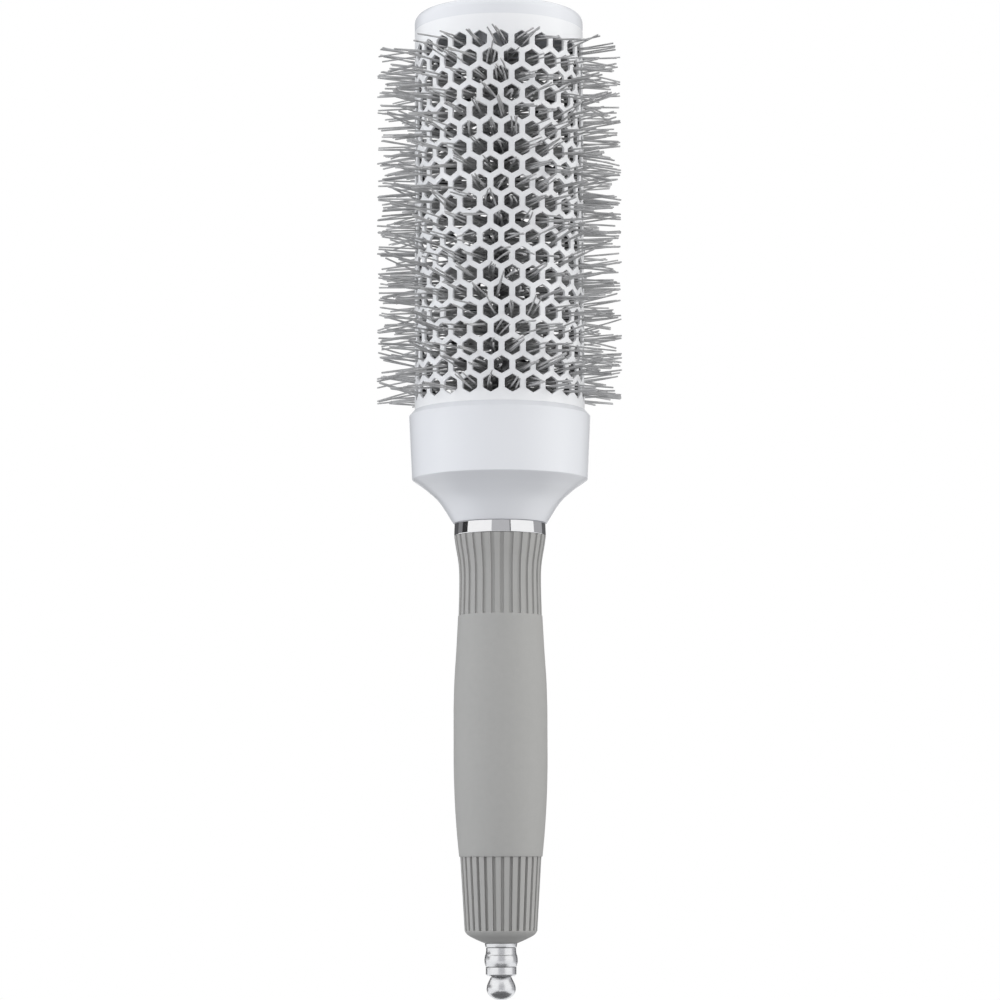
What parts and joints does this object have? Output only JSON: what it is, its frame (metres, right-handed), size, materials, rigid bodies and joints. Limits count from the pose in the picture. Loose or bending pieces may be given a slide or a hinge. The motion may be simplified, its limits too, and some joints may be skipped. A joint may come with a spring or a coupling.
{
  "type": "round barrel hair brush",
  "caption": "Round vented barrel brush for blow-drying, with rows of nylon bristles, a flared collar, a ribbed soft-touch handle and a pull-out sectioning pin in the tail.",
  "frame": {"origin": "on the brush's axis, in the middle of the short cylindrical crown of the handle, where it is held", "axes": "+Z along the brush's axis towards the barrel's end cap; the tail pin points along -Z. +X is to the right of the picture's view and +Y away from it; the body is round, so X and Y only fix the rows of vents."},
  "size_m": [0.0624, 0.0624, 0.2494],
  "materials": {
    "ceramic_coat": "semi-gloss ceramic coat outside, dark inside",
    "white_plastic": "glossy white moulding",
    "bush_metal": "machined",
    "core_wire": "galvanised, twisted",
    "chrome_ring": "polished",
    "core_plastic": "moulded",
    "soft_grip": "soft-touch matt",
    "satin_metal": "satin, turned",
    "ring_rubber": "matt",
    "guide_plastic": "plain",
    "pin_steel": "ground",
    "bristle_nylon": "heat-resistant nylon"
  },
  "bodies": {
    "brush": {"barrel_tube": "ceramic_coat", "end_cap": "white_plastic", "core_tip_bush": "bush_metal", "core_wire_a": "core_wire", "core_wire_b": "core_wire", "core_anchor": "bush_metal", "collar": "white_plastic", "trim_ring": "chrome_ring", "handle_core": "core_plastic", "grip_sleeve": "soft_grip", "tail_ferrule": "satin_metal", "friction_ring": "ring_rubber", "guide_tube": "guide_plastic", "bristle_row_01": "bristle_nylon", "bristle_row_02": "bristle_nylon", "bristle_row_03": "bristle_nylon", "bristle_row_04": "bristle_nylon", "bristle_row_05": "bristle_nylon", "bristle_row_06": "bristle_nylon", "bristle_row_07": "bristle_nylon", "bristle_row_08": "bristle_nylon", "bristle_row_09": "bristle_nylon", "bristle_row_10": "bristle_nylon", "bristle_row_11": "bristle_nylon", "bristle_row_12": "bristle_nylon", "bristle_row_13": "bristle_nylon", "bristle_row_14": "bristle_nylon", "bristle_row_15": "bristle_nylon", "bristle_row_16": "bristle_nylon", "bristle_row_17": "bristle_nylon", "bristle_row_18": "bristle_nylon", "bristle_row_19": "bristle_nylon", "bristle_row_20": "bristle_nylon"},
    "pin": {"pin_rod": "pin_steel", "pin_stop": "pin_steel", "pin_knob": "satin_metal"}
  },
  "joints": [
    {"name": "pin_slide", "type": "slide", "parent": "brush", "child": "pin", "axis": [0, 0, -1], "range_m": [0, 0.055]}
  ]
}
